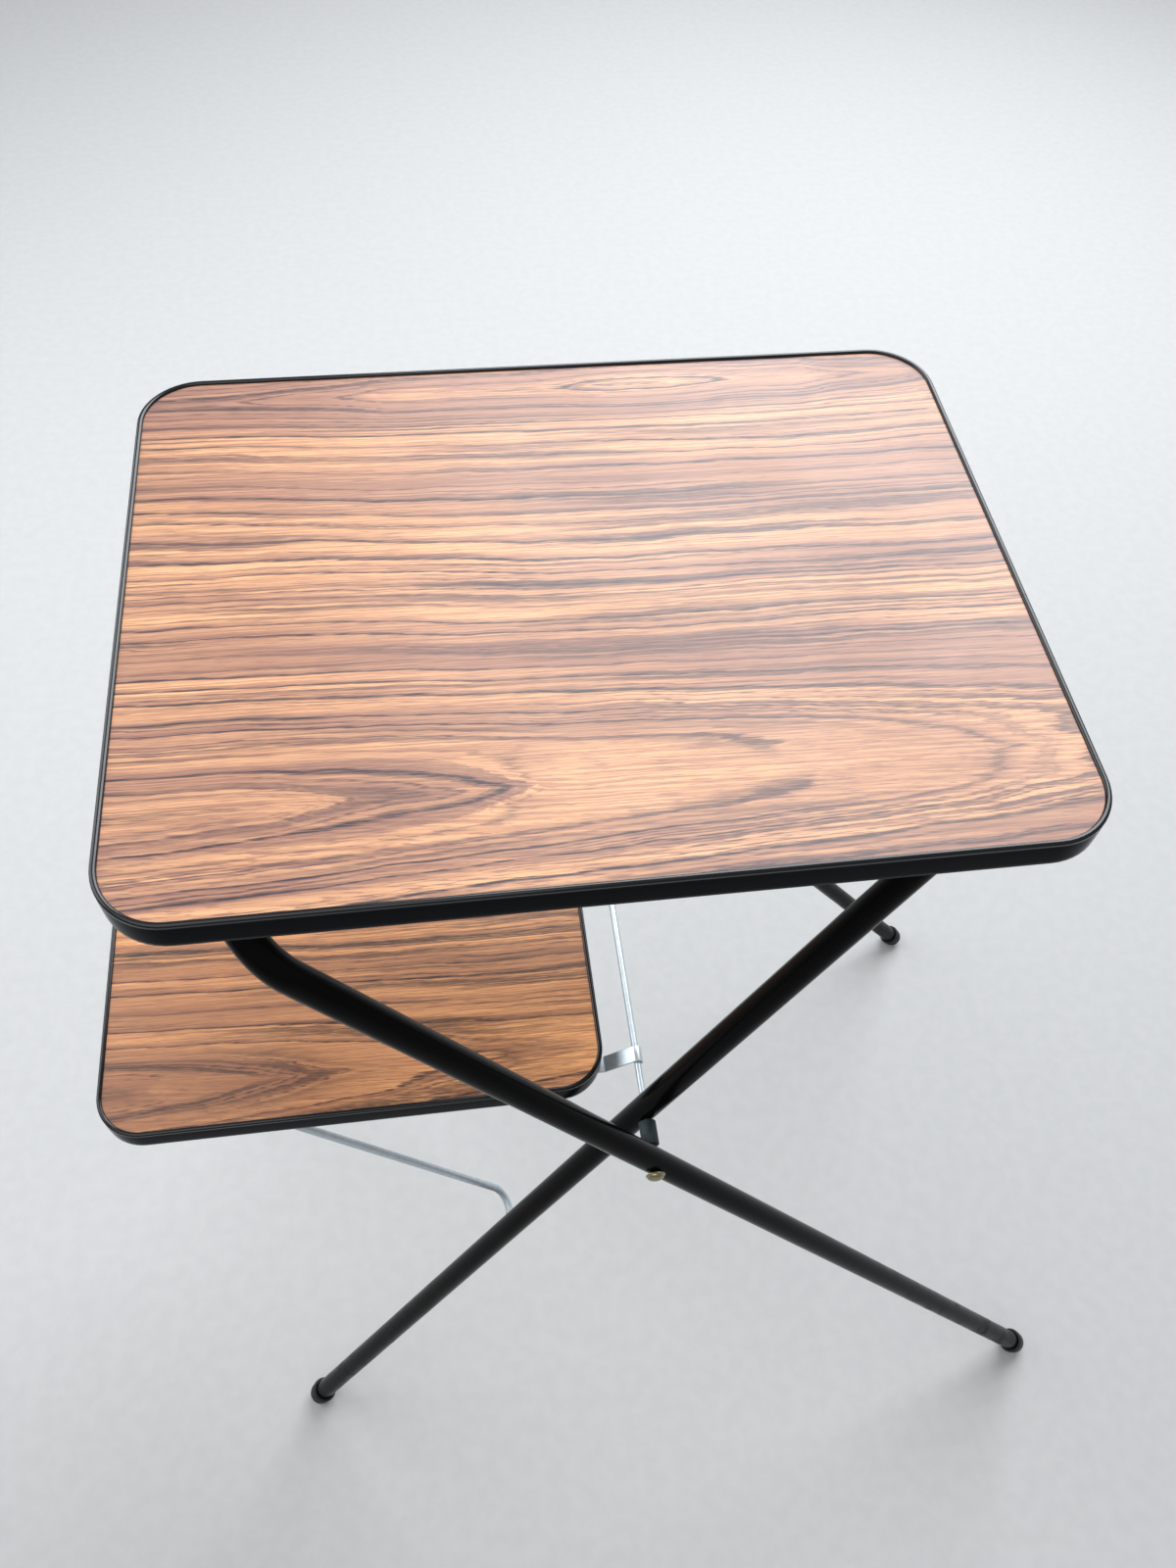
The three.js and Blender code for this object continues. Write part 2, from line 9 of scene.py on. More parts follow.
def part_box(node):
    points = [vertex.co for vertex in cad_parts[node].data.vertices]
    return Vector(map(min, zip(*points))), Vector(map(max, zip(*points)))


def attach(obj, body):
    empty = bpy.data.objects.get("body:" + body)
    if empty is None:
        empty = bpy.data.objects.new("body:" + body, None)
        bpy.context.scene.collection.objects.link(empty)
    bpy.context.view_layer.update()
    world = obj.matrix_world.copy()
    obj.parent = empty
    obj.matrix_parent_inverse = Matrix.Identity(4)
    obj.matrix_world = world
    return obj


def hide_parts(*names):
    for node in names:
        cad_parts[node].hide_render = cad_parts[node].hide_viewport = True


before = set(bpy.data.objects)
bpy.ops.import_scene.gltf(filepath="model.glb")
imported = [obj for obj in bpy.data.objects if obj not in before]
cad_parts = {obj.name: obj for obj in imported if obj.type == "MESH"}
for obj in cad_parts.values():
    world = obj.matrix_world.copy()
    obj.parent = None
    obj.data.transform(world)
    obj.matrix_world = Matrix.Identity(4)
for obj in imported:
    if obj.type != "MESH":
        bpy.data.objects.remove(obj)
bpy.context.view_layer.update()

# ------------------------------------------------------------ shared dimensions, in metres
MM = 0.001
TOP_LOW, TOP_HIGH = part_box("top_edging")
SHELF_LOW, SHELF_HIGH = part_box("shelf_edging")
CENTRE_X = (TOP_LOW.x + TOP_HIGH.x) / 2  # the top's middle, along X
PIVOT_SHIFT = 38 * MM  # the rod, from the top's middle
PIVOT = Vector((CENTRE_X + PIVOT_SHIFT, 0, 640 * MM))
CROSS_X = 200 * MM  # both cross tubes, from the top's middle
CROSS_Z = 970.2 * MM
CROSS_DROP = 11 * MM  # from the top board's underside to a cross tube's axis
SHELF_UNDERSIDE = 630.7 * MM
BEAD_RISE = 1.5 * MM
EDGING_WIDTH = 3.4 * MM
TOP_CORNER = 37 * MM
SHELF_CORNER = 33 * MM
CORNER_STEPS = 14

TUBE_RADIUS = 9.5 * MM
BEND_RADIUS = 58 * MM
SPLAY = 0.062  # how far a leg spreads sideways for each unit down it
OUTER_HALF = 209 * MM
INNER_HALF = 171 * MM
CROSS_RISE = CROSS_Z - PIVOT.z
OUTER_LEAN = math.atan2(CROSS_X + PIVOT_SHIFT, CROSS_RISE)
INNER_LEAN = math.atan2(CROSS_X - PIVOT_SHIFT, CROSS_RISE)

GAP = 0.3 * MM  # between a fitting and what it is screwed to
STRIP_SHRINK = 0.05 * MM  # how much thinner a strip is here than its CAD solid
SADDLE_THICKNESS = 1.2 * MM  # also the stop brackets'
HOOK_THICKNESS = 1.4 * MM
BAIL_SADDLE_THICKNESS = 1.0 * MM

ROD_RADIUS = 2.5 * MM
CAP_SEAT = 219.2 * MM  # from the middle to the inner face of a rod cap
TOP_SADDLE_Y = 96 * MM
STOP_BRACKET_Y = 62 * MM
HOOK_Y = 131 * MM
BAIL_SADDLE_Y = 92 * MM
BAIL_RADIUS = 3 * MM
BAIL_HOLE_DROP = 225 * MM  # along an inner leg, from the rod to the bail's hole
BAIL_HALF = 149 * MM  # half the length of its middle run
BAIL_REST = 251 * MM  # from the rod to its middle run, along X
BAIL_DROP = 3.6 * MM  # from the shelf's underside to its axis
BAIL_AXIS_Z = SHELF_UNDERSIDE - BAIL_DROP

FIELD_SPAN = 0.4  # metres across the grain in one unit of the wood's height field
FIGURE_SPAN = 0.5  # metres along the grain from 0 to 1 of a wood figure's curve
FIGURE_DEPTH = 0.25  # how far one unit of a figure's curve moves the height field

FLOOR_HALF = 40.0
CAMERA_LENS = 29.1
CAMERA_PLACE = Vector((CENTRE_X - 0.0802, -0.4883, 1.512))
CAMERA_TURN = (-10.77, 35.07, 4.07)  # degrees: heading, tilt up from straight down, roll

SIDES = {"near": -1, "far": 1}


# ------------------------------------------------------------ materials
class Nodes:
    """A material's node tree with short ways to add nodes. Inputs may be sockets or plain values."""

    def __init__(self, name):
        self.material = bpy.data.materials.new(name)
        self.material.use_nodes = True
        self.tree = self.material.node_tree
        self.tree.nodes.clear()
        self.out = self.tree.nodes.new("ShaderNodeOutputMaterial")
        self.shader = self.tree.nodes.new("ShaderNodeBsdfPrincipled")
        self.tree.links.new(self.shader.outputs[0], self.out.inputs[0])
        self.place = self.tree.nodes.new("ShaderNodeTexCoord").outputs["Object"]

    def feed(self, socket, value):
        if isinstance(value, bpy.types.NodeSocket):
            self.tree.links.new(value, socket)
        elif value is not None:
            socket.default_value = value

    def math(self, operation, a, b=None, c=None):
        node = self.tree.nodes.new("ShaderNodeMath")
        node.operation = operation
        for socket, value in zip(node.inputs, (a, b, c)):
            self.feed(socket, value)
        return node.outputs[0]

    def times(self, product, *factors):
        for factor in factors:
            product = self.math("MULTIPLY", product, factor)
        return product

    def split(self, vector):
        node = self.tree.nodes.new("ShaderNodeSeparateXYZ")
        self.feed(node.inputs[0], vector)
        return node.outputs

    def join(self, x, y, z):
        node = self.tree.nodes.new("ShaderNodeCombineXYZ")
        for socket, value in zip(node.inputs, (x, y, z)):
            self.feed(socket, value)
        return node.outputs[0]

    def noise(self, vector, scale, detail, roughness=0.5):
        node = self.tree.nodes.new("ShaderNodeTexNoise")
        self.feed(node.inputs["Vector"], vector)
        node.inputs["Scale"].default_value = scale
        node.inputs["Detail"].default_value = detail
        node.inputs["Roughness"].default_value = roughness
        return node.outputs[0]

    def band(self, value, low, high, to_low=0.0, to_high=1.0):
        node = self.tree.nodes.new("ShaderNodeMapRange")
        node.interpolation_type = "SMOOTHSTEP"
        for socket, item in zip(node.inputs, (value, low, high, to_low, to_high)):
            self.feed(socket, item)
        return node.outputs[0]

    def curve(self, value, points):
        """A smooth curve through (x, y) points that lie between 0 and 1."""
        node = self.tree.nodes.new("ShaderNodeFloatCurve")
        curve = node.mapping.curves[0]
        while len(curve.points) < len(points):
            curve.points.new(0.5, 0.5)
        for point, (x, y) in zip(curve.points, points):
            point.location = (x, y)
        node.mapping.update()
        self.feed(node.inputs["Value"], value)
        return node.outputs[0]

    def mix(self, factor, a, b):
        node = self.tree.nodes.new("ShaderNodeMix")
        node.data_type = "RGBA"
        self.feed(node.inputs[0], factor)
        for socket, value in zip((node.inputs[6], node.inputs[7]), (a, b)):
            self.feed(socket, value if isinstance(value, bpy.types.NodeSocket) else (*value, 1.0))
        return node.outputs[2]

    def bump(self, height, strength, distance):
        node = self.tree.nodes.new("ShaderNodeBump")
        node.inputs["Strength"].default_value = strength
        node.inputs["Distance"].default_value = distance
        self.feed(node.inputs["Height"], height)
        self.feed(self.shader.inputs["Normal"], node.outputs[0])

    def finish(self, color, roughness, metallic=0.0, specular=0.5):
        if not isinstance(color, bpy.types.NodeSocket):
            color = (*color, 1.0)
        self.feed(self.shader.inputs["Base Color"], color)
        self.feed(self.shader.inputs["Roughness"], roughness)
        self.shader.inputs["Metallic"].default_value = metallic
        self.shader.inputs["Specular IOR Level"].default_value = specular
        return self.material


def plain_material(name, color, roughness, metallic=0.0, mottle=0.12, grain=400.0, specular=0.5):
    """One colour with a faint mottle in it and in its roughness."""
    nodes = Nodes(name)
    spots = nodes.noise(nodes.place, grain, 3.0)
    darker = tuple(c * (1 - mottle) for c in color)
    lighter = tuple(min(1.0, c * (1 + mottle)) for c in color)
    tone = nodes.mix(nodes.band(spots, 0.35, 0.65), darker, lighter)
    patches = nodes.noise(nodes.place, 35.0, 3.0)
    rough = nodes.band(patches, 0.3, 0.7, roughness * 0.85, roughness * 1.15)
    return nodes.finish(tone, rough, metallic, specular)


def enamel_material():
    """Black stove enamel, dustier towards the floor."""
    nodes = Nodes("black_enamel")
    geometry = nodes.tree.nodes.new("ShaderNodeNewGeometry")
    height = nodes.split(geometry.outputs["Position"])[2]
    low = nodes.band(height, 0.05, 0.6, 1.0, 0.0)
    patches = nodes.band(nodes.noise(nodes.place, 45.0, 5.0, 0.7), 0.42, 0.75)
    dust = nodes.times(patches, low, 0.35)
    color = nodes.mix(dust, (0.003, 0.003, 0.0035), (0.03, 0.029, 0.026))
    rough = nodes.math("MULTIPLY_ADD", dust, 0.9, 0.2)
    peel = nodes.noise(nodes.place, 260.0, 2.0)
    nodes.bump(peel, 0.08, 0.0006)
    return nodes.finish(color, rough, specular=0.06)


def edging_material():
    """Black plastic: a glossy bead along the top of the edging, a duller side face below it."""
    nodes = Nodes("edging_plastic")
    height = nodes.split(nodes.place)[2]
    smears = nodes.noise(nodes.place, 40.0, 3.0)
    rough = nodes.band(smears, 0.3, 0.7, 0.13, 0.2)
    material = nodes.finish((0.0035, 0.004, 0.005), rough)
    gloss = nodes.band(height, -1.2 * MM, 0.3 * MM, 0.02, 0.42)
    nodes.feed(nodes.shader.inputs["Specular IOR Level"], gloss)
    return material


def chipboard_material():
    nodes = Nodes("chipboard")
    flakes = nodes.tree.nodes.new("ShaderNodeTexVoronoi")
    flakes.inputs["Scale"].default_value = 420.0
    nodes.feed(flakes.inputs["Vector"], nodes.place)
    tone = nodes.split(flakes.outputs["Color"])[0]
    color = nodes.mix(tone, (0.27, 0.17, 0.09), (0.44, 0.31, 0.18))
    return nodes.finish(color, 0.85)


class WoodNodes(Nodes):
    """Nodes of a wood-effect sheet whose grain runs along X."""

    def __init__(self, name, seed):
        super().__init__(name)
        self.seed = seed
        self.x, self.y, _ = self.split(self.place)
        self.across = self.math("MULTIPLY_ADD", self.y, 1 / FIELD_SPAN, 0.5)
        self.along = self.math("MULTIPLY_ADD", self.x, 1 / FIGURE_SPAN, 0.5)

    def streaks(self, row, stretch, pitch, offset=0.0, detail=1.0, roughness=0.5):
        """Noise in long streaks, each of which keeps to one value of row."""
        place = self.join(self.times(self.x, stretch), self.times(row, pitch), self.seed + offset)
        return self.noise(place, 1.0, detail, roughness)

    def apart(self, value, level):
        return self.math("ABSOLUTE", self.math("SUBTRACT", value, level))

    def add_scaled(self, field, value, scale):
        return self.math("MULTIPLY_ADD", value, scale, field)


def turned_back(nodes, beyond):
    """Grows at twice the rate of its argument above zero, and rounds off to nothing below."""
    square = nodes.math("MULTIPLY_ADD", beyond, beyond, 0.00003)
    return nodes.math("ADD", beyond, nodes.math("SQRT", square))


def wood_field(nodes, near_fold, far_fold, near_figure, near_tips, far_figure):
    """The height field over a sheet, folded back near its two long edges.

    The figures tilt the folds, which bends the field's levels round into long pointed loops.
    """
    across, along = nodes.across, nodes.along
    fibre = nodes.math("SUBTRACT", nodes.streaks(nodes.y, 9.0, 420.0, 40.0, 3.0), 0.5)
    ragged_along = nodes.add_scaled(along, fibre, 0.045)
    field = nodes.math("ADD", across, turned_back(nodes, nodes.math("SUBTRACT", near_fold, across)))
    field = nodes.math("SUBTRACT", field, turned_back(nodes, nodes.math("SUBTRACT", across, far_fold)))

    inner_side = nodes.band(across, near_fold, near_fold + 0.27, 1.0, 0.0)
    near_weight = nodes.times(inner_side, nodes.band(across, near_fold - 0.19, near_fold))
    near = nodes.math("SUBTRACT", nodes.curve(ragged_along, near_figure), 0.45)
    field = nodes.add_scaled(field, nodes.times(near, near_weight), FIGURE_DEPTH)

    off_fold = nodes.apart(across, near_fold)
    pointed = nodes.add_scaled(ragged_along, off_fold, 1.6)
    tips = nodes.times(nodes.curve(pointed, near_tips), nodes.band(off_fold, 0.0, 0.06, 1.0, 0.0))
    field = nodes.add_scaled(field, tips, FIGURE_DEPTH)

    far_weight = nodes.band(nodes.apart(across, far_fold), 0.0, 0.12, 1.0, 0.0)
    far = nodes.times(nodes.curve(ragged_along, far_figure), far_weight)
    field = nodes.add_scaled(field, far, FIGURE_DEPTH)

    between = nodes.math("SUBTRACT", nodes.math("SUBTRACT", 1.0, near_weight), far_weight)
    fall = nodes.times(nodes.band(along, -0.05, 0.62, 1.0, 0.0), between)
    field = nodes.add_scaled(field, fall, -0.042)
    waves = ((6.0, 12.0, 0.0, 0.04), (24.0, 70.0, 5.0, 0.009), (50.0, 900.0, 9.0, 0.007))
    for stretch, pitch, offset, depth in waves:
        field = nodes.add_scaled(field, nodes.streaks(nodes.y, stretch, pitch, offset, 2.0), depth)
    return field


def wood_material(name, near_fold, far_fold, figures, calm, line_count, seed, tones):
    """Wood-effect laminate. Dark lines run along the levels of a height field over the sheet.

    The calm wedge lies on the near fold and has few lines: calm gives where it starts along X, its length
    and its half width there. The line count is the number of bold lines in one unit of the field.
    """
    nodes = WoodNodes(name, seed)
    field = wood_field(nodes, near_fold, far_fold, **figures)

    # Bold lines repeat evenly, with a slow drift; each has a shade that fades away on one side of it.
    drift = nodes.times(nodes.streaks(field, 0.8, 13.0, 7.0), 1.5)
    saw = nodes.math("FRACT", nodes.math("MULTIPLY_ADD", field, line_count, drift))
    off_line = nodes.math("SUBTRACT", 0.5, nodes.apart(saw, 0.5))
    bold = nodes.band(off_line, 0.0008 * line_count, 0.0031 * line_count, 1.0, 0.0)
    bold_side = nodes.band(saw, 0.0, 0.5, 1.0, 0.0)

    # Fine lines run where a noise crosses one half.
    past_half = nodes.math("SUBTRACT", nodes.streaks(field, 1.6, 90.0, 17.0), 0.5)
    fine = nodes.band(nodes.math("ABSOLUTE", past_half), 0.017, 0.085, 1.0, 0.0)
    above_half = nodes.math("GREATER_THAN", past_half, 0.0)
    fine_side = nodes.times(nodes.band(past_half, 0.0, 0.24, 1.0, 0.0), above_half)

    # The fibres and pores run along the sheet and only lean towards the lines.
    fibre_row = nodes.add_scaled(field, nodes.across, 3.0)
    silk = nodes.streaks(fibre_row, 8.0, 85.0, 29.0, 2.0)
    pore_noise = nodes.streaks(fibre_row, 55.0, 225.0, 0.0, 2.0, 0.6)
    pores = nodes.band(pore_noise, 0.53, 0.63)
    broken = nodes.band(pore_noise, 0.36, 0.56, 0.5, 1.0)

    start, length, half_width = calm
    run = nodes.math("MULTIPLY_ADD", nodes.x, 1 / length, -start / length)
    taper = nodes.math("MAXIMUM", run, nodes.times(run, -6.0))
    away = nodes.add_scaled(taper, nodes.apart(nodes.across, near_fold), FIELD_SPAN / half_width)
    loud = nodes.band(away, 0.7, 1.05, 0.12, 1.0)
    bold_strength = nodes.band(nodes.streaks(field, 1.4, 17.0, 11.0), 0.36, 0.56, 0.4, 1.0)
    bold_strength = nodes.times(bold_strength, loud, broken)
    fine_strength = nodes.band(nodes.streaks(field, 4.0, 26.0, 23.0), 0.36, 0.6)
    fine_strength = nodes.times(fine_strength, loud, broken)
    broad = nodes.band(nodes.streaks(field, 1.0, 9.0, 3.0), 0.4, 0.64)

    light, middle, shade, dark = tones
    color = nodes.mix(nodes.band(silk, 0.32, 0.68), light, middle)
    color = nodes.mix(nodes.times(broad, 0.62), color, shade)
    color = nodes.mix(nodes.times(bold_side, bold_strength, 0.85), color, shade)
    color = nodes.mix(nodes.times(fine_side, fine_strength, 0.6), color, shade)
    color = nodes.mix(nodes.times(fine, fine_strength, 0.8), color, dark)
    color = nodes.mix(nodes.times(pores, 0.62), color, shade)
    color = nodes.mix(nodes.times(bold, bold_strength), color, dark)
    rough = nodes.band(nodes.noise(nodes.place, 9.0, 3.0), 0.3, 0.7, 0.36, 0.44)
    nodes.bump(pores, 0.05, 0.0003)
    return nodes.finish(color, rough)


ENAMEL = enamel_material()
RUBBER = plain_material("foot_rubber", (0.011, 0.012, 0.014), 0.6, grain=900.0, specular=0.3)
ZINC = plain_material("zinc_plate", (0.62, 0.69, 0.74), 0.46, 0.75, mottle=0.05, grain=250.0)
BRASS = plain_material("brass_cap", (0.33, 0.3, 0.19), 0.3, 1.0)
SLEEVE = plain_material("sleeve_plastic", (0.028, 0.042, 0.05), 0.42, specular=0.3)
EDGING = edging_material()
CHIPBOARD = chipboard_material()

# The top's folds lie 132 mm from its middle line towards the near edge and 172 mm towards the far edge.
# The shelf's far fold lies beyond its edge.
TOP_WOOD = wood_material(
    "top_wood_laminate",
    near_fold=0.17,
    far_fold=0.93,
    figures={
        "near_figure": [(0.0, 0.0), (0.13, 0.06), (0.3, 0.14), (0.4, 0.2), (0.53, 0.26), (0.67, 0.34),
                        (0.8, 0.42), (0.885, 0.48), (0.975, 0.56), (1.0, 0.58)],
        "near_tips": [(0.0, 0.0), (0.2, 0.0), (0.26, 0.07), (0.4, 0.08), (0.45, 0.2), (0.53, 0.2),
                      (0.65, 0.17), (0.8, 0.15), (0.9, 0.15), (1.0, 0.16)],
        "far_figure": [(0.0, 0.04), (0.18, 0.08), (0.25, 0.12), (0.32, 0.2), (0.4, 0.2), (0.48, 0.2),
                       (0.61, 0.26), (0.75, 0.2), (0.82, 0.2), (0.87, 0.12), (0.96, 0.08), (1.0, 0.04)],
    },
    calm=(-12 * MM, 200 * MM, 27 * MM),
    line_count=33.0,
    seed=4.0,
    tones=((0.72, 0.38, 0.19), (0.43, 0.205, 0.108), (0.2, 0.09, 0.075), (0.028, 0.017, 0.024)),
)

SHELF_WOOD = wood_material(
    "shelf_wood_laminate",
    near_fold=0.195,
    far_fold=1.1,
    figures={
        "near_figure": [(0.0, 0.0), (0.2, 0.04), (0.4, 0.13), (0.55, 0.22), (0.7, 0.28), (0.85, 0.33),
                        (1.0, 0.37)],
        "near_tips": [(0.0, 0.0), (0.22, 0.0), (0.3, 0.06), (0.4, 0.07), (0.54, 0.12), (0.7, 0.12),
                      (1.0, 0.14)],
        "far_figure": [(0.0, 0.2), (0.5, 0.3), (1.0, 0.2)],
    },
    calm=(-130 * MM, 100 * MM, 13 * MM),
    line_count=20.0,
    seed=31.0,
    tones=((0.78, 0.37, 0.15), (0.46, 0.195, 0.08), (0.2, 0.078, 0.045), (0.018, 0.01, 0.011)),
)


# ------------------------------------------------------------ meshes
def make_piece(name, bm, material, body, nodes, origin=None, angle=35.0):
    """Turns a bmesh in the shared frame into a piece that rides on a CAD body and stands for CAD nodes."""
    bmesh.ops.remove_doubles(bm, verts=bm.verts, dist=1e-7)
    bmesh.ops.recalc_face_normals(bm, faces=bm.faces)
    if origin is not None:
        bmesh.ops.translate(bm, verts=bm.verts, vec=-Vector(origin))
    for face in bm.faces:
        face.smooth = True
    for edge in bm.edges:
        if len(edge.link_faces) == 2 and edge.calc_face_angle(0) > math.radians(angle):
            edge.smooth = False
    mesh = bpy.data.meshes.new(name)
    bm.to_mesh(mesh)
    bm.free()
    obj = bpy.data.objects.new(name, mesh)
    bpy.context.scene.collection.objects.link(obj)
    if origin is not None:
        obj.location = origin
    mesh.materials.append(material)
    bpy.context.view_layer.update()
    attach(obj, body)
    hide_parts(*nodes)


def join_rings(bm, a, b):
    for i in range(len(a)):
        j = (i + 1) % len(a)
        bm.faces.new((a[i], a[j], b[j], b[i]))


def skin(bm, rings, closed=False):
    """Faces between rings of equal length: an open skin is capped, a closed one joins its two end rings."""
    made = [[bm.verts.new(p) for p in ring] for ring in rings]
    for a, b in zip(made, made[1:]):
        join_rings(bm, a, b)
    if closed:
        join_rings(bm, made[-1], made[0])
    else:
        bm.faces.new(list(reversed(made[0])))
        bm.faces.new(made[-1])


def bent_path(corners, steps):
    """Stations (point, tangent) along straight runs joined by round bends. Corners are (point, radius)."""
    stations = []
    last = len(corners) - 1
    for index, (corner, radius) in enumerate(corners):
        if index in (0, last):
            other = corners[1 if index == 0 else last - 1][0]
            along = (other - corner) if index == 0 else (corner - other)
            stations.append((corner.copy(), along.normalized()))
            continue
        into = (corner - corners[index - 1][0]).normalized()
        out = (corners[index + 1][0] - corner).normalized()
        turn = into.angle(out)
        start = corner - into * radius * math.tan(turn / 2)
        side = (out - into * out.dot(into)).normalized()
        for step in range(steps + 1):
            angle = turn * step / steps
            point = start + into * radius * math.sin(angle) + side * radius * (1 - math.cos(angle))
            stations.append((point, into * math.cos(angle) + side * math.sin(angle)))
    return stations


def sweep(bm, stations, section, normal):
    """Sweeps a section of (u, v) points, u along the path's plane normal, along a flat path."""
    rings = []
    for point, tangent in stations:
        across = tangent.cross(normal)
        rings.append([point + normal * u + across * v for u, v in section])
    skin(bm, rings)


def circle(radius, count):
    angles = [2 * math.pi * i / count for i in range(count)]
    return [(radius * math.cos(angle), radius * math.sin(angle)) for angle in angles]


def strip_section(width, thickness, round_by=0.35 * MM):
    """A strip's section with rounded corners."""
    points = []
    centres = [(1, -1), (1, 1), (-1, 1), (-1, -1)]
    for quarter, (su, sv) in enumerate(centres):
        cu, cv = su * (width / 2 - round_by), sv * (thickness / 2 - round_by)
        for step in range(4):
            angle = math.radians(-90 + 90 * quarter + 30 * step)
            points.append((cu + round_by * math.cos(angle), cv + round_by * math.sin(angle)))
    return points


def lathe(bm, profile, place, segments=48):
    """Turns (radius, height) points about an axis; place maps the turned point into the shared frame."""
    rings = []
    for i in range(segments):
        angle = 2 * math.pi * i / segments
        rings.append([place @ Vector((r * math.cos(angle), r * math.sin(angle), h)) for r, h in profile])
    made = [[bm.verts.new(p) for p in ring] for ring in rings]
    for i in range(segments):
        a, b = made[i], made[(i + 1) % segments]
        for j in range(len(profile) - 1):
            bm.faces.new((a[j], b[j], b[j + 1], a[j + 1]))
    bmesh.ops.remove_doubles(bm, verts=bm.verts, dist=1e-7)


def rounded_outline(half_x, half_y, radius):
    """Points and outward normals round a rectangle with rounded corners, counter-clockwise."""
    outline = []
    for quarter, (sx, sy) in enumerate([(1, -1), (1, 1), (-1, 1), (-1, -1)]):
        cx, cy = sx * (half_x - radius), sy * (half_y - radius)
        for step in range(CORNER_STEPS + 1):
            angle = math.radians(-90 + 90 * quarter + 90 * step / CORNER_STEPS)
            normal = Vector((math.cos(angle), math.sin(angle), 0))
            outline.append((Vector((cx, cy, 0)) + normal * radius, normal))
    return outline


# ------------------------------------------------------------ boards
def edging_profile():
    """(inwards, height above the laminate) round the edging: a half-round bead over a plain side face."""
    bead = EDGING_WIDTH / 2
    bottom = -17.6 * MM
    foot = 0.15 * MM  # the bead's half round starts this far above the laminate
    points = [(foot, -0.2 * MM)]
    for step in range(13):
        angle = math.radians(180 - 15 * step)
        points.append((bead + bead * 0.985 * math.cos(angle), (BEAD_RISE - foot) * math.sin(angle) + foot))
    points += [(EDGING_WIDTH, -0.4 * MM), (EDGING_WIDTH, bottom + 0.3 * MM)]
    lip = 1.2 * MM
    for step in range(5):
        angle = math.radians(-90 - 18 * step)
        points.append((1.3 * MM + lip * math.cos(angle), bottom + lip + lip * math.sin(angle)))
    points.append((0.05 * MM, -14.0 * MM))
    points.append((0.0, -8.0 * MM))
    points.append((0.05 * MM, -2.0 * MM))
    return points


def make_board(prefix, low, high, corner, wood):
    """A board's edging and laminate sheet. Their origin is the middle of the laminate's face."""
    centre = Vector(((low.x + high.x) / 2, 0, high.z - BEAD_RISE))
    half_x, half_y = (high.x - low.x) / 2, (high.y - low.y) / 2
    profile = edging_profile()

    # The edging is one strip whose two ends butt together on the right-hand side.
    outline = rounded_outline(half_x, half_y, corner)
    joint_y, half_gap = -31 * MM, 0.12 * MM
    start = (Vector((half_x, joint_y + half_gap, 0)), Vector((1, 0, 0)))
    end = (Vector((half_x, joint_y - half_gap, 0)), Vector((1, 0, 0)))
    corner_points = CORNER_STEPS + 1
    stations = [start] + outline[corner_points:] + outline[:corner_points] + [end]
    bm = bmesh.new()
    rings = [[centre + p - n * inwards + Vector((0, 0, h)) for inwards, h in profile] for p, n in stations]
    skin(bm, rings)
    make_piece(f"{prefix}_edging_strip", bm, EDGING, prefix, [f"{prefix}_edging"], centre)

    bm = bmesh.new()
    inset, round_by = EDGING_WIDTH + 0.05 * MM, 0.05 * MM
    outline = rounded_outline(half_x - inset, half_y - inset, corner - inset)
    sheet = [[centre + p + Vector((0, 0, h)) for p, _ in outline] for h in (-1.0 * MM, -round_by)]
    sheet.append([centre + p - n * round_by for p, n in outline])
    skin(bm, sheet)
    make_piece(f"{prefix}_laminate_sheet", bm, wood, prefix, [f"{prefix}_laminate"], centre)


make_board("top", TOP_LOW, TOP_HIGH, TOP_CORNER, TOP_WOOD)
make_board("shelf", SHELF_LOW, SHELF_HIGH, SHELF_CORNER, SHELF_WOOD)


# ------------------------------------------------------------ frames, feet and the rod
def foot_end_reach(lean):
    """Along a leg, from the rod to the end face of its foot."""
    radius, rounding, worn = 11.5 * MM, 3.5 * MM, 1.0 * MM
    height = rounding + (radius - rounding) * math.sin(lean) - rounding * math.cos(lean) - worn
    return (PIVOT.z - height) / math.cos(lean)


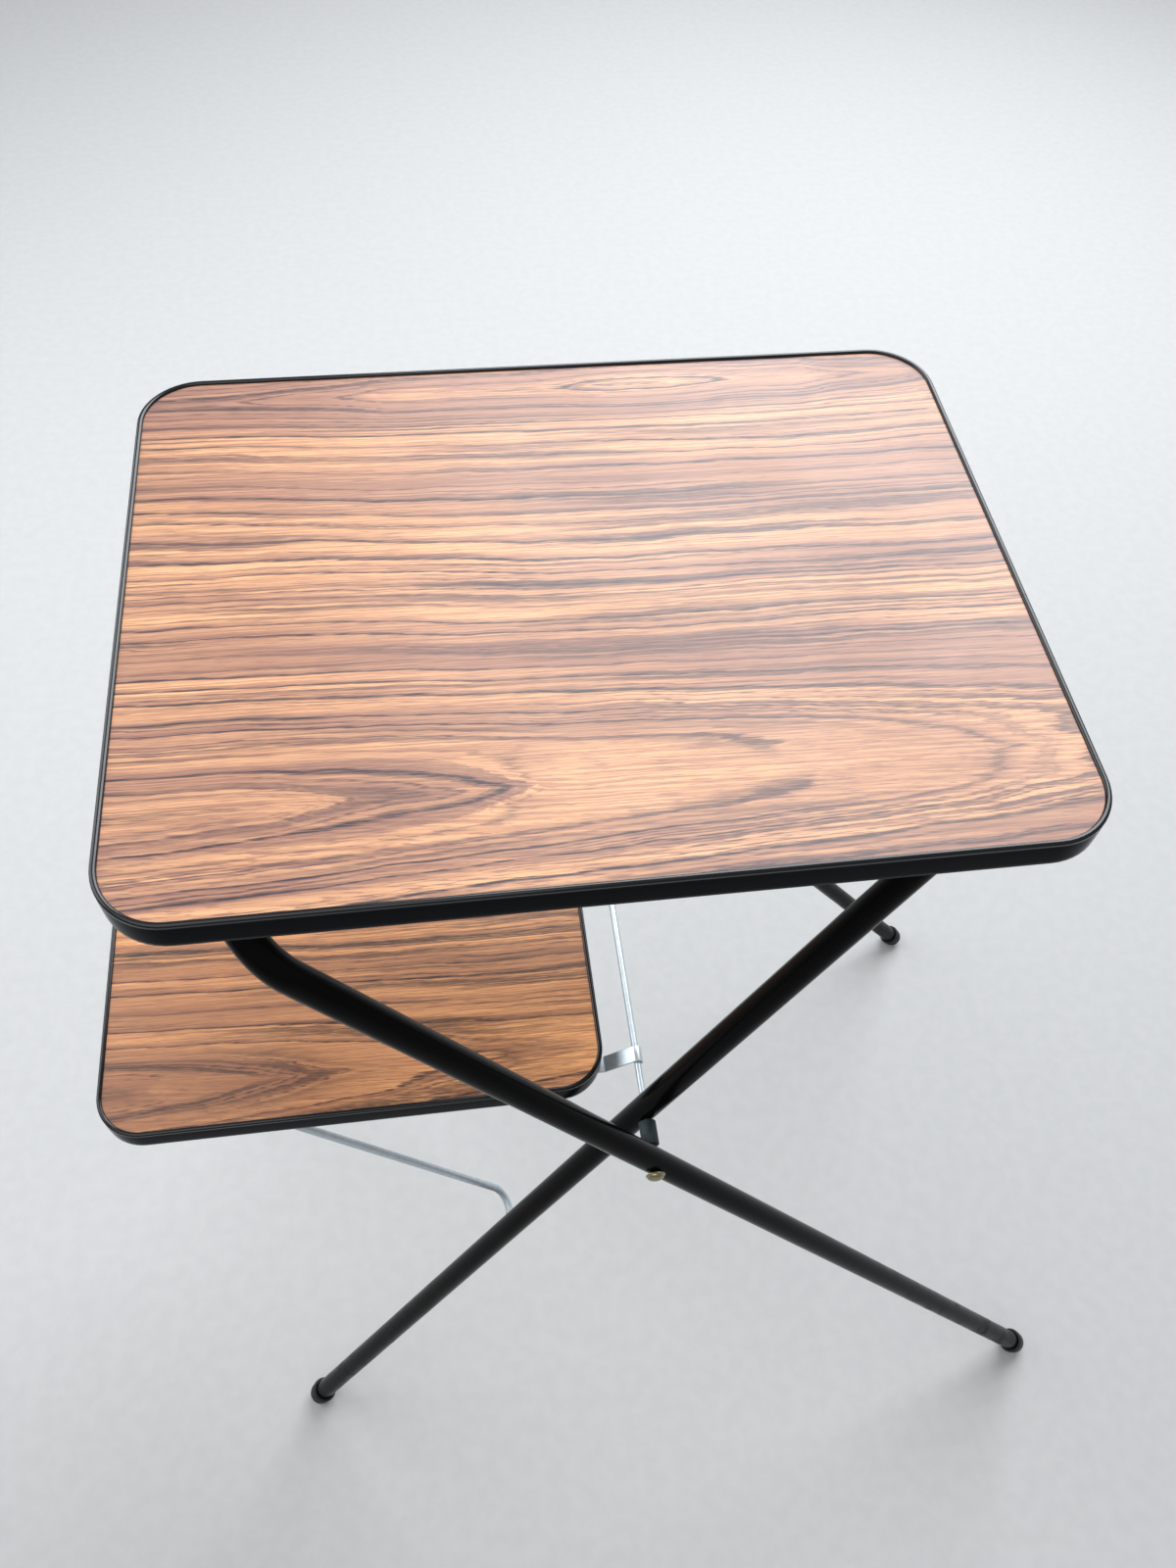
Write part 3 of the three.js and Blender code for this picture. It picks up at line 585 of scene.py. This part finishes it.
def make_frame(prefix, half, run, lean, direction):
    """A frame's bent tube and its two feet; run is how far its cross tube lies from the rod along X."""
    place = Matrix.Translation(PIVOT) @ Matrix.Rotation(direction * lean, 4, "Y")
    rise = math.hypot(run, CROSS_RISE)
    end = foot_end_reach(lean)
    tube_end = end - 5.2 * MM
    body = f"{prefix}_frame"

    def corner(side, height, radius):
        return (place @ Vector((0, side * (half - SPLAY * height), height)), radius)

    corners = [
        corner(-1, -tube_end, 0),
        corner(-1, rise, BEND_RADIUS),
        corner(1, rise, BEND_RADIUS),
        corner(1, -tube_end, 0),
    ]
    normal = (place.to_3x3() @ Vector((1, 0, 0))).normalized()
    bm = bmesh.new()
    sweep(bm, bent_path(corners, 28), circle(TUBE_RADIUS - 0.02 * MM, 40), normal)
    make_piece(f"{body}_bent_tube", bm, ENAMEL, body, [f"{body}_tube"])

    # A cup with a rounded sole and a rolled collar, as (radius, height above its sole) in mm.
    profile = [
        (0, 0.6), (5.0, 0.4), (8.0, 0.45), (9.6, 1.0), (10.8, 2.2), (11.3, 3.8), (11.4, 6.0), (11.35, 12.2),
        (11.6, 12.7), (12.1, 13.2), (12.35, 14.0), (12.35, 15.6), (12.1, 16.4), (11.6, 16.8), (10.3, 16.9),
        (9.85, 16.5), (9.8, 15.0), (9.8, 5.0), (0, 5.0),
    ]
    profile = [(r * MM, h * MM) for r, h in profile]
    for label, side in SIDES.items():
        bm = bmesh.new()
        at = Matrix.Translation((0, side * (half + SPLAY * end), -end))
        tilt = Matrix.Rotation(side * math.atan(SPLAY), 4, "X")
        lathe(bm, profile, place @ at @ tilt)
        for vert in bm.verts:
            vert.co.z = max(vert.co.z, 0.0)
        name = f"{prefix}_foot_ferrule_{label}"
        make_piece(name, bm, RUBBER, body, [f"{prefix}_foot_{label}"])


make_frame("outer", OUTER_HALF, CROSS_X + PIVOT_SHIFT, OUTER_LEAN, -1)
make_frame("inner", INNER_HALF, CROSS_X - PIVOT_SHIFT, INNER_LEAN, 1)


def make_sleeve(label, side):
    """A spacer with 24 shallow flutes and chamfered ends, bored for the rod."""
    ring_points = 24 * 4
    angles = [2 * math.pi * i / ring_points for i in range(ring_points)]

    def point(radius, angle, y):
        return PIVOT + Vector((radius * math.cos(angle), side * y * MM, radius * math.sin(angle)))

    rings = []
    for y, chamfer in ((181.3, 0.5), (181.8, 0.0), (198.2, 0.0), (198.7, 0.5)):
        radii = [(6.15 - chamfer - (0.28 if i % 4 == 0 else 0.0)) * MM for i in range(ring_points)]
        rings.append([point(radius, angle, y) for radius, angle in zip(radii, angles)])
    for y in (198.7, 181.3):
        rings.append([point(2.75 * MM, angle, y) for angle in angles])
    bm = bmesh.new()
    skin(bm, rings, closed=True)
    nodes = [f"spacer_sleeve_{label}"]
    make_piece(f"spacer_fluted_sleeve_{label}", bm, SLEEVE, "outer_frame", nodes, angle=60)


def make_cap(label, side):
    """A push-on cap: a rolled rim under a low dome."""
    profile = [(2.7, 0.1), (6.4, 0.1), (6.85, 0.35), (6.85, 0.9), (6.3, 1.3)]
    for step in range(9):
        angle = math.radians(90 * step / 8)
        profile.append((6.1 * math.cos(angle), 1.4 + 2.9 * math.sin(angle)))
    profile += [(0, 3.2), (2.7, 3.1), (2.7, 0.1)]
    turned = Matrix.Translation(PIVOT) @ Matrix.Rotation(math.radians(-90 * side), 4, "X")
    bm = bmesh.new()
    lathe(bm, [(r * MM, CAP_SEAT + h * MM) for r, h in profile], turned, 40)
    make_piece(f"rod_dome_cap_{label}", bm, BRASS, "outer_frame", [f"rod_cap_{label}"])


def make_rod_pieces():
    along = Matrix.Translation(PIVOT) @ Matrix.Rotation(math.radians(-90), 4, "X")
    end = CAP_SEAT + 2.7 * MM
    bm = bmesh.new()
    lathe(bm, [(0, -end), (ROD_RADIUS, -end), (ROD_RADIUS, end), (0, end)], along, 32)
    make_piece("pivot_rod_bar", bm, ZINC, "outer_frame", ["pivot_rod"])
    for label, side in SIDES.items():
        make_cap(label, side)
        make_sleeve(label, side)


make_rod_pieces()


# ------------------------------------------------------------ straps, saddles, brackets and the bail
def make_strip(name, node, body, profile, origin, width, thickness, steps):
    """A bent strip whose path lies in an XZ plane. A profile has (x, z, bend radius) in mm from origin."""
    corners = [(origin + Vector((x * MM, 0, z * MM)), radius * MM) for x, z, radius in profile]
    section = strip_section(width, thickness - STRIP_SHRINK)
    bm = bmesh.new()
    sweep(bm, bent_path(corners, steps), section, Vector((0, 1, 0)))
    make_piece(name, bm, ZINC, body, [node], angle=50)


def make_screw(node, body, x, y, seat):
    """A pan-head screw driven upwards; seat is the height of its head's flat. The head has a cross recess."""
    rings, segments = 14, 48
    head, rise, recess = 3.4 * MM, 1.85 * MM, 0.9 * MM
    slot_half_width, slot_reach = 0.42 * MM, 1.9 * MM
    turn = circle(1.0, segments)
    bm = bmesh.new()
    made = []
    for ring in range(rings + 1):
        r = head * ring / rings
        drop = rise * (1 - (r / head) ** 3.0 * 0.75)
        row = []
        for c, s in turn:
            u, v = r * c, r * s
            in_slot = min(abs(u), abs(v)) < slot_half_width and max(abs(u), abs(v)) < slot_reach
            row.append(bm.verts.new((x + u, y + v, seat - drop + (recess if in_slot else 0.0))))
        made.append(row)
    for radius, height in ((head, 0.0), (1.6 * MM, 0.0), (1.6 * MM, 8 * MM), (0.05 * MM, 11 * MM)):
        made.append([bm.verts.new((x + radius * c, y + radius * s, seat + height)) for c, s in turn])
    for a, b in zip(made, made[1:]):
        join_rings(bm, a, b)
    bm.faces.new(made[-1])
    make_piece(f"{node}_pan", bm, ZINC, body, [node], angle=40)


def make_top_fittings():
    strip_z = (CROSS_DROP - GAP - SADDLE_THICKNESS / 2) / MM
    wrap = (TUBE_RADIUS + SADDLE_THICKNESS / 2) / MM + 0.5
    saddle = [(-30, strip_z, 0), (-wrap, strip_z, 1.8), (-wrap, -wrap, wrap - 0.01),
              (wrap, -wrap, wrap - 0.01), (wrap, strip_z, 1.8), (30, strip_z, 0)]
    face = TUBE_RADIUS / MM + 1.4
    bracket = [(face + 27, strip_z, 0), (face, strip_z, 1.8), (face, -4, 3), (face + 3.5, -10, 0)]
    left, right = CENTRE_X - CROSS_X, CENTRE_X + CROSS_X
    seat = CROSS_Z + CROSS_DROP - SADDLE_THICKNESS - 2 * GAP
    for label, side in SIDES.items():
        y = side * TOP_SADDLE_Y
        make_strip(f"top_saddle_strap_{label}", f"top_saddle_{label}", "top", saddle,
                   Vector((left, y, CROSS_Z)), 18 * MM, SADDLE_THICKNESS, steps=12)
        for word, x in (("outer", left - 22 * MM), ("inner", left + 22 * MM)):
            make_screw(f"top_saddle_screw_{label}_{word}", "top", x, y, seat)
        y = side * STOP_BRACKET_Y
        make_strip(f"stop_bracket_plate_{label}", f"stop_bracket_{label}", "top", bracket,
                   Vector((right, y, CROSS_Z)), 18 * MM, SADDLE_THICKNESS, steps=8)
        make_screw(f"stop_bracket_screw_{label}", "top", right + (face + 19) * MM, y, seat)


def make_shelf_fittings():
    strip_z = (SHELF_UNDERSIDE - PIVOT.z - 2 * GAP - HOOK_THICKNESS / 2) / MM
    wrap = (ROD_RADIUS + HOOK_THICKNESS / 2) / MM + 0.4
    hook = [(-61, strip_z, 0), (-23, strip_z, 4), (-wrap / 3, wrap, wrap - 0.1), (wrap, wrap, wrap - 0.01),
            (wrap, -wrap, wrap - 0.01), (-wrap + 1.6, -wrap, 0)]
    saddle_z = (BAIL_DROP - GAP - BAIL_SADDLE_THICKNESS / 2) / MM
    turn = (BAIL_RADIUS + BAIL_SADDLE_THICKNESS / 2) / MM + 0.4
    saddle = [(-14, saddle_z, 0), (-turn, saddle_z, 0.8), (-turn, -turn, turn - 0.01),
              (turn, -turn, turn - 0.01), (turn, saddle_z, 0.8), (14, saddle_z, 0)]
    rest_x = PIVOT.x - BAIL_REST
    hook_seat = SHELF_UNDERSIDE - HOOK_THICKNESS - 3 * GAP
    saddle_seat = SHELF_UNDERSIDE - BAIL_SADDLE_THICKNESS - 2 * GAP
    for label, side in SIDES.items():
        hook_y, saddle_y = side * HOOK_Y, side * BAIL_SADDLE_Y
        make_strip(f"shelf_hook_strap_{label}", f"shelf_hook_{label}", "shelf", hook,
                   Vector((PIVOT.x, hook_y, PIVOT.z)), 12 * MM, HOOK_THICKNESS, steps=12)
        make_strip(f"bail_saddle_strap_{label}", f"bail_saddle_{label}", "shelf", saddle,
                   Vector((rest_x, saddle_y, BAIL_AXIS_Z)), 12 * MM, BAIL_SADDLE_THICKNESS, steps=10)
        for index, x in enumerate((PIVOT.x - 42 * MM, PIVOT.x - 54 * MM)):
            make_screw(f"shelf_hook_screw_{label}_{index + 1}", "shelf", x, hook_y, hook_seat)
        for index, x in enumerate((rest_x - 9 * MM, rest_x + 9 * MM)):
            make_screw(f"bail_saddle_screw_{label}_{index + 1}", "shelf", x, saddle_y, saddle_seat)


def make_bail():
    """The bent wire: its ends turn out into the inner legs' holes, its middle run rests under the shelf."""
    leg_inner = INNER_HALF + SPLAY * BAIL_HOLE_DROP - TUBE_RADIUS * math.hypot(1, SPLAY)
    hole_x = PIVOT.x - BAIL_HOLE_DROP * math.sin(INNER_LEAN)
    hole_z = PIVOT.z - BAIL_HOLE_DROP * math.cos(INNER_LEAN)
    half = [
        (hole_x, leg_inner - 0.6 * MM, hole_z, 0),
        (hole_x, leg_inner - 18.8 * MM, hole_z, 18 * MM),
        (PIVOT.x - BAIL_REST, BAIL_HALF, BAIL_AXIS_Z, 9 * MM),
    ]
    corners = [(Vector((x, -y, z)), bend) for x, y, z, bend in half]
    corners += [(Vector((x, y, z)), bend) for x, y, z, bend in reversed(half)]
    normal = (corners[1][0] - corners[0][0]).cross(corners[2][0] - corners[1][0]).normalized()
    bm = bmesh.new()
    sweep(bm, bent_path(corners, 14), circle(BAIL_RADIUS, 24), normal)
    make_piece("bail_bent_wire", bm, ZINC, "bail", ["bail_wire"])


make_top_fittings()
make_shelf_fittings()
make_bail()

for prefix in ("top", "shelf"):
    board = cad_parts[f"{prefix}_board"]
    board.data.materials.clear()
    board.data.materials.append(CHIPBOARD)


# ------------------------------------------------------------ floor, light and camera
def make_floor():
    bm = bmesh.new()
    for x, y in ((-1, -1), (1, -1), (1, 1), (-1, 1)):
        bm.verts.new((x * FLOOR_HALF, y * FLOOR_HALF, 0))
    bm.faces.new(bm.verts)
    mesh = bpy.data.meshes.new("floor")
    bm.to_mesh(mesh)
    bm.free()
    floor = bpy.data.objects.new("floor", mesh)
    bpy.context.scene.collection.objects.link(floor)
    nodes = Nodes("floor_paint")
    speckle = nodes.band(nodes.noise(nodes.place, 60.0, 4.0), 0.3, 0.7)
    tone = nodes.mix(speckle, (0.44, 0.44, 0.435), (0.46, 0.46, 0.455))
    floor.data.materials.append(nodes.finish(tone, 0.9))


def area_light(name, location, target, size, power, color=(1, 1, 1)):
    data = bpy.data.lights.new(name, "AREA")
    data.shape = "DISK"
    data.size = size
    data.energy = power
    data.color = color
    light = bpy.data.objects.new(name, data)
    light.location = location
    light.rotation_mode = "QUATERNION"
    light.rotation_quaternion = (Vector(target) - Vector(location)).to_track_quat("-Z", "Y")
    bpy.context.scene.collection.objects.link(light)


def make_camera():
    data = bpy.data.cameras.new("camera")
    data.sensor_fit = "AUTO"
    data.sensor_width = 36.0
    data.lens = CAMERA_LENS
    camera = bpy.data.objects.new("camera", data)
    turn = Matrix.Identity(4)
    for angle, axis in zip(CAMERA_TURN, "ZXZ"):
        turn = turn @ Matrix.Rotation(math.radians(angle), 4, axis)
    camera.matrix_world = Matrix.Translation(CAMERA_PLACE) @ turn
    bpy.context.scene.collection.objects.link(camera)
    bpy.context.scene.camera = camera


def make_world():
    world = bpy.data.worlds.new("studio")
    world.use_nodes = True
    background = world.node_tree.nodes["Background"]
    background.inputs[0].default_value = (0.92, 0.95, 1.0, 1.0)
    background.inputs[1].default_value = 0.42
    bpy.context.scene.world = world


make_floor()
make_world()
COOL_WHITE = (0.94, 0.97, 1.0)
area_light("sky", (1.15, 2.3, 3.0), (0.05, 0.1, 0.9), 3.2, 190, COOL_WHITE)
area_light("fill", (-1.0, -0.7, 3.2), (0, 0, 0.7), 2.6, 26)
area_light("left", (-1.9, 1.0, 2.0), (-0.2, 0.0, 0.6), 2.2, 38, COOL_WHITE)
make_camera()
bpy.context.scene.view_settings.view_transform = "Standard"

bpy.context.view_layer.update()
